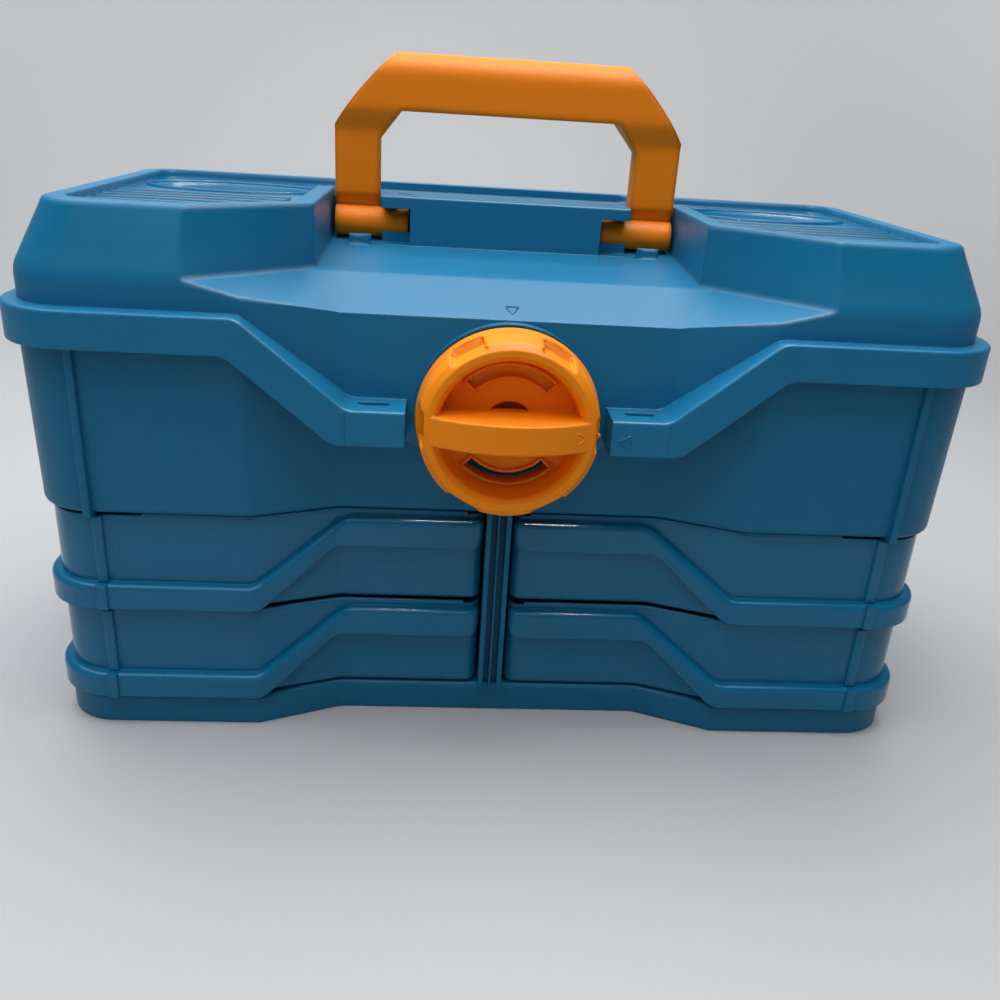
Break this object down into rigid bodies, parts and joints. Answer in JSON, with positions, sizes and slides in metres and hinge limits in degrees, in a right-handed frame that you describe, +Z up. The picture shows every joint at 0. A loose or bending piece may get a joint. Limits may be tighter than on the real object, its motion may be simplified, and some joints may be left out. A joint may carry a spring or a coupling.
{
  "type": "tackle box",
  "caption": "Moulded tackle box with a hinged lid, fold-down carry handle, round turn latch, an open upper bin and trays that swing out at the front corners.",
  "frame": {"origin": "middle of the bottom face of the base, where its underside ribs cross", "axes": "+X to the right along the box, +Y to the back where the lid's hinge is, +Z up"},
  "size_m": [0.46, 0.2375, 0.3292],
  "materials": {
    "body_plastic": "moulded polypropylene, fine matt texture, deep teal blue",
    "lid_plastic": "moulded polypropylene, fine matt texture, teal blue",
    "tray_plastic": "moulded polypropylene, satin, deep teal blue",
    "orange_plastic": "moulded polypropylene, fine matt texture, orange",
    "divider_plastic": "moulded polypropylene sheet, translucent grey",
    "steel": "zinc-plated steel"
  },
  "bodies": {
    "base": {"base_housing": "body_plastic", "mid_shelf": "body_plastic", "centre_post": "body_plastic", "upper_bin": "body_plastic", "hinge_pin_left": "steel", "hinge_pin_right": "steel", "pivot_rod_left": "steel", "pivot_rod_right": "steel", "bin_screws": "steel"},
    "lid": {"lid": "lid_plastic"},
    "handle": {"handle": "orange_plastic"},
    "latch": {"latch_knob": "orange_plastic", "latch_washer": "steel", "latch_screw": "steel"},
    "upper_left": {"upper_left_tray": "tray_plastic", "upper_left_dividers": "divider_plastic"},
    "upper_right": {"upper_right_tray": "tray_plastic", "upper_right_dividers": "divider_plastic"},
    "lower_left": {"lower_left_tray": "tray_plastic", "lower_left_dividers": "divider_plastic"},
    "lower_right": {"lower_right_tray": "tray_plastic", "lower_right_dividers": "divider_plastic"}
  },
  "joints": [
    {"name": "lid_hinge", "type": "hinge", "parent": "base", "child": "lid", "pos_m": [0, 0.11, 0.194], "axis": [-1, 0, 0], "range_deg": [0, 100]},
    {"name": "handle_fold", "type": "hinge", "parent": "lid", "child": "handle", "pos_m": [0, 0.021, 0.2452], "axis": [1, 0, 0], "range_deg": [0, 90]},
    {"name": "knob_turn", "type": "hinge", "parent": "base", "child": "latch", "pos_m": [0, 0, 0.1723], "axis": [0, -1, 0], "range_deg": [0, 90]},
    {"name": "upper_left_swing", "type": "hinge", "parent": "base", "child": "upper_left", "pos_m": [-0.196, -0.0685, 0], "axis": [0, 0, -1], "range_deg": [0, 100]},
    {"name": "lower_left_swing", "type": "hinge", "parent": "base", "child": "lower_left", "pos_m": [-0.196, -0.0685, 0], "axis": [0, 0, -1], "range_deg": [0, 100]},
    {"name": "upper_right_swing", "type": "hinge", "parent": "base", "child": "upper_right", "pos_m": [0.196, -0.0685, 0], "axis": [0, 0, 1], "range_deg": [0, 100]},
    {"name": "lower_right_swing", "type": "hinge", "parent": "base", "child": "lower_right", "pos_m": [0.196, -0.0685, 0], "axis": [0, 0, 1], "range_deg": [0, 100]}
  ]
}
